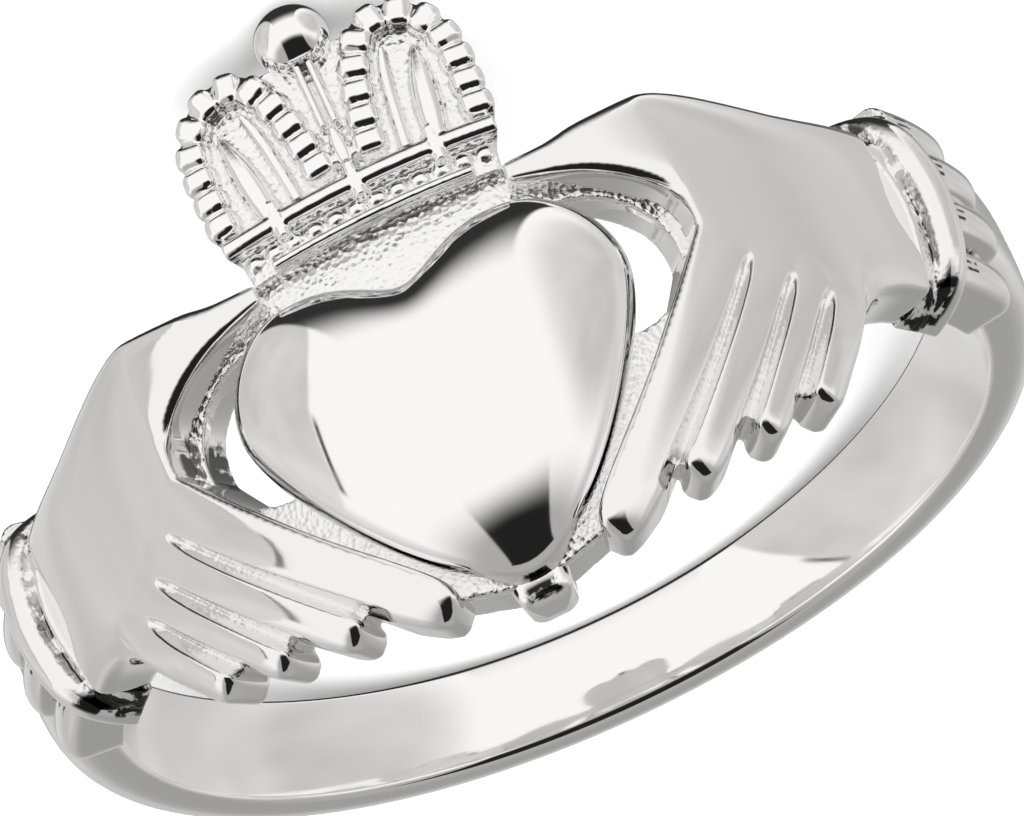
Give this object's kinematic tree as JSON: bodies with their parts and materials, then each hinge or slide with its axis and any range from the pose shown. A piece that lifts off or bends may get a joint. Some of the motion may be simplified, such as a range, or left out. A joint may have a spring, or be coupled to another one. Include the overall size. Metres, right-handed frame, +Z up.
{
  "type": "claddagh ring",
  "caption": "Cast silver finger ring: a crowned heart held by two cuffed hands, on a plain domed band.",
  "frame": {"origin": "centre of the lying ring's footprint, on the surface that it lies on", "axes": "+Z up; +Y from the heart towards the back of the band; +X to the wearer's left hand of the pair, so the ring mirrors across X = 0; the ring lies on its crown's ball and on the back of its band"},
  "size_m": [0.0196, 0.021, 0.0119],
  "materials": {
    "ring": "polished sterling silver, with grainy as-cast recesses"
  },
  "bodies": {
    "root": {"ring": "ring"}
  },
  "joints": []
}
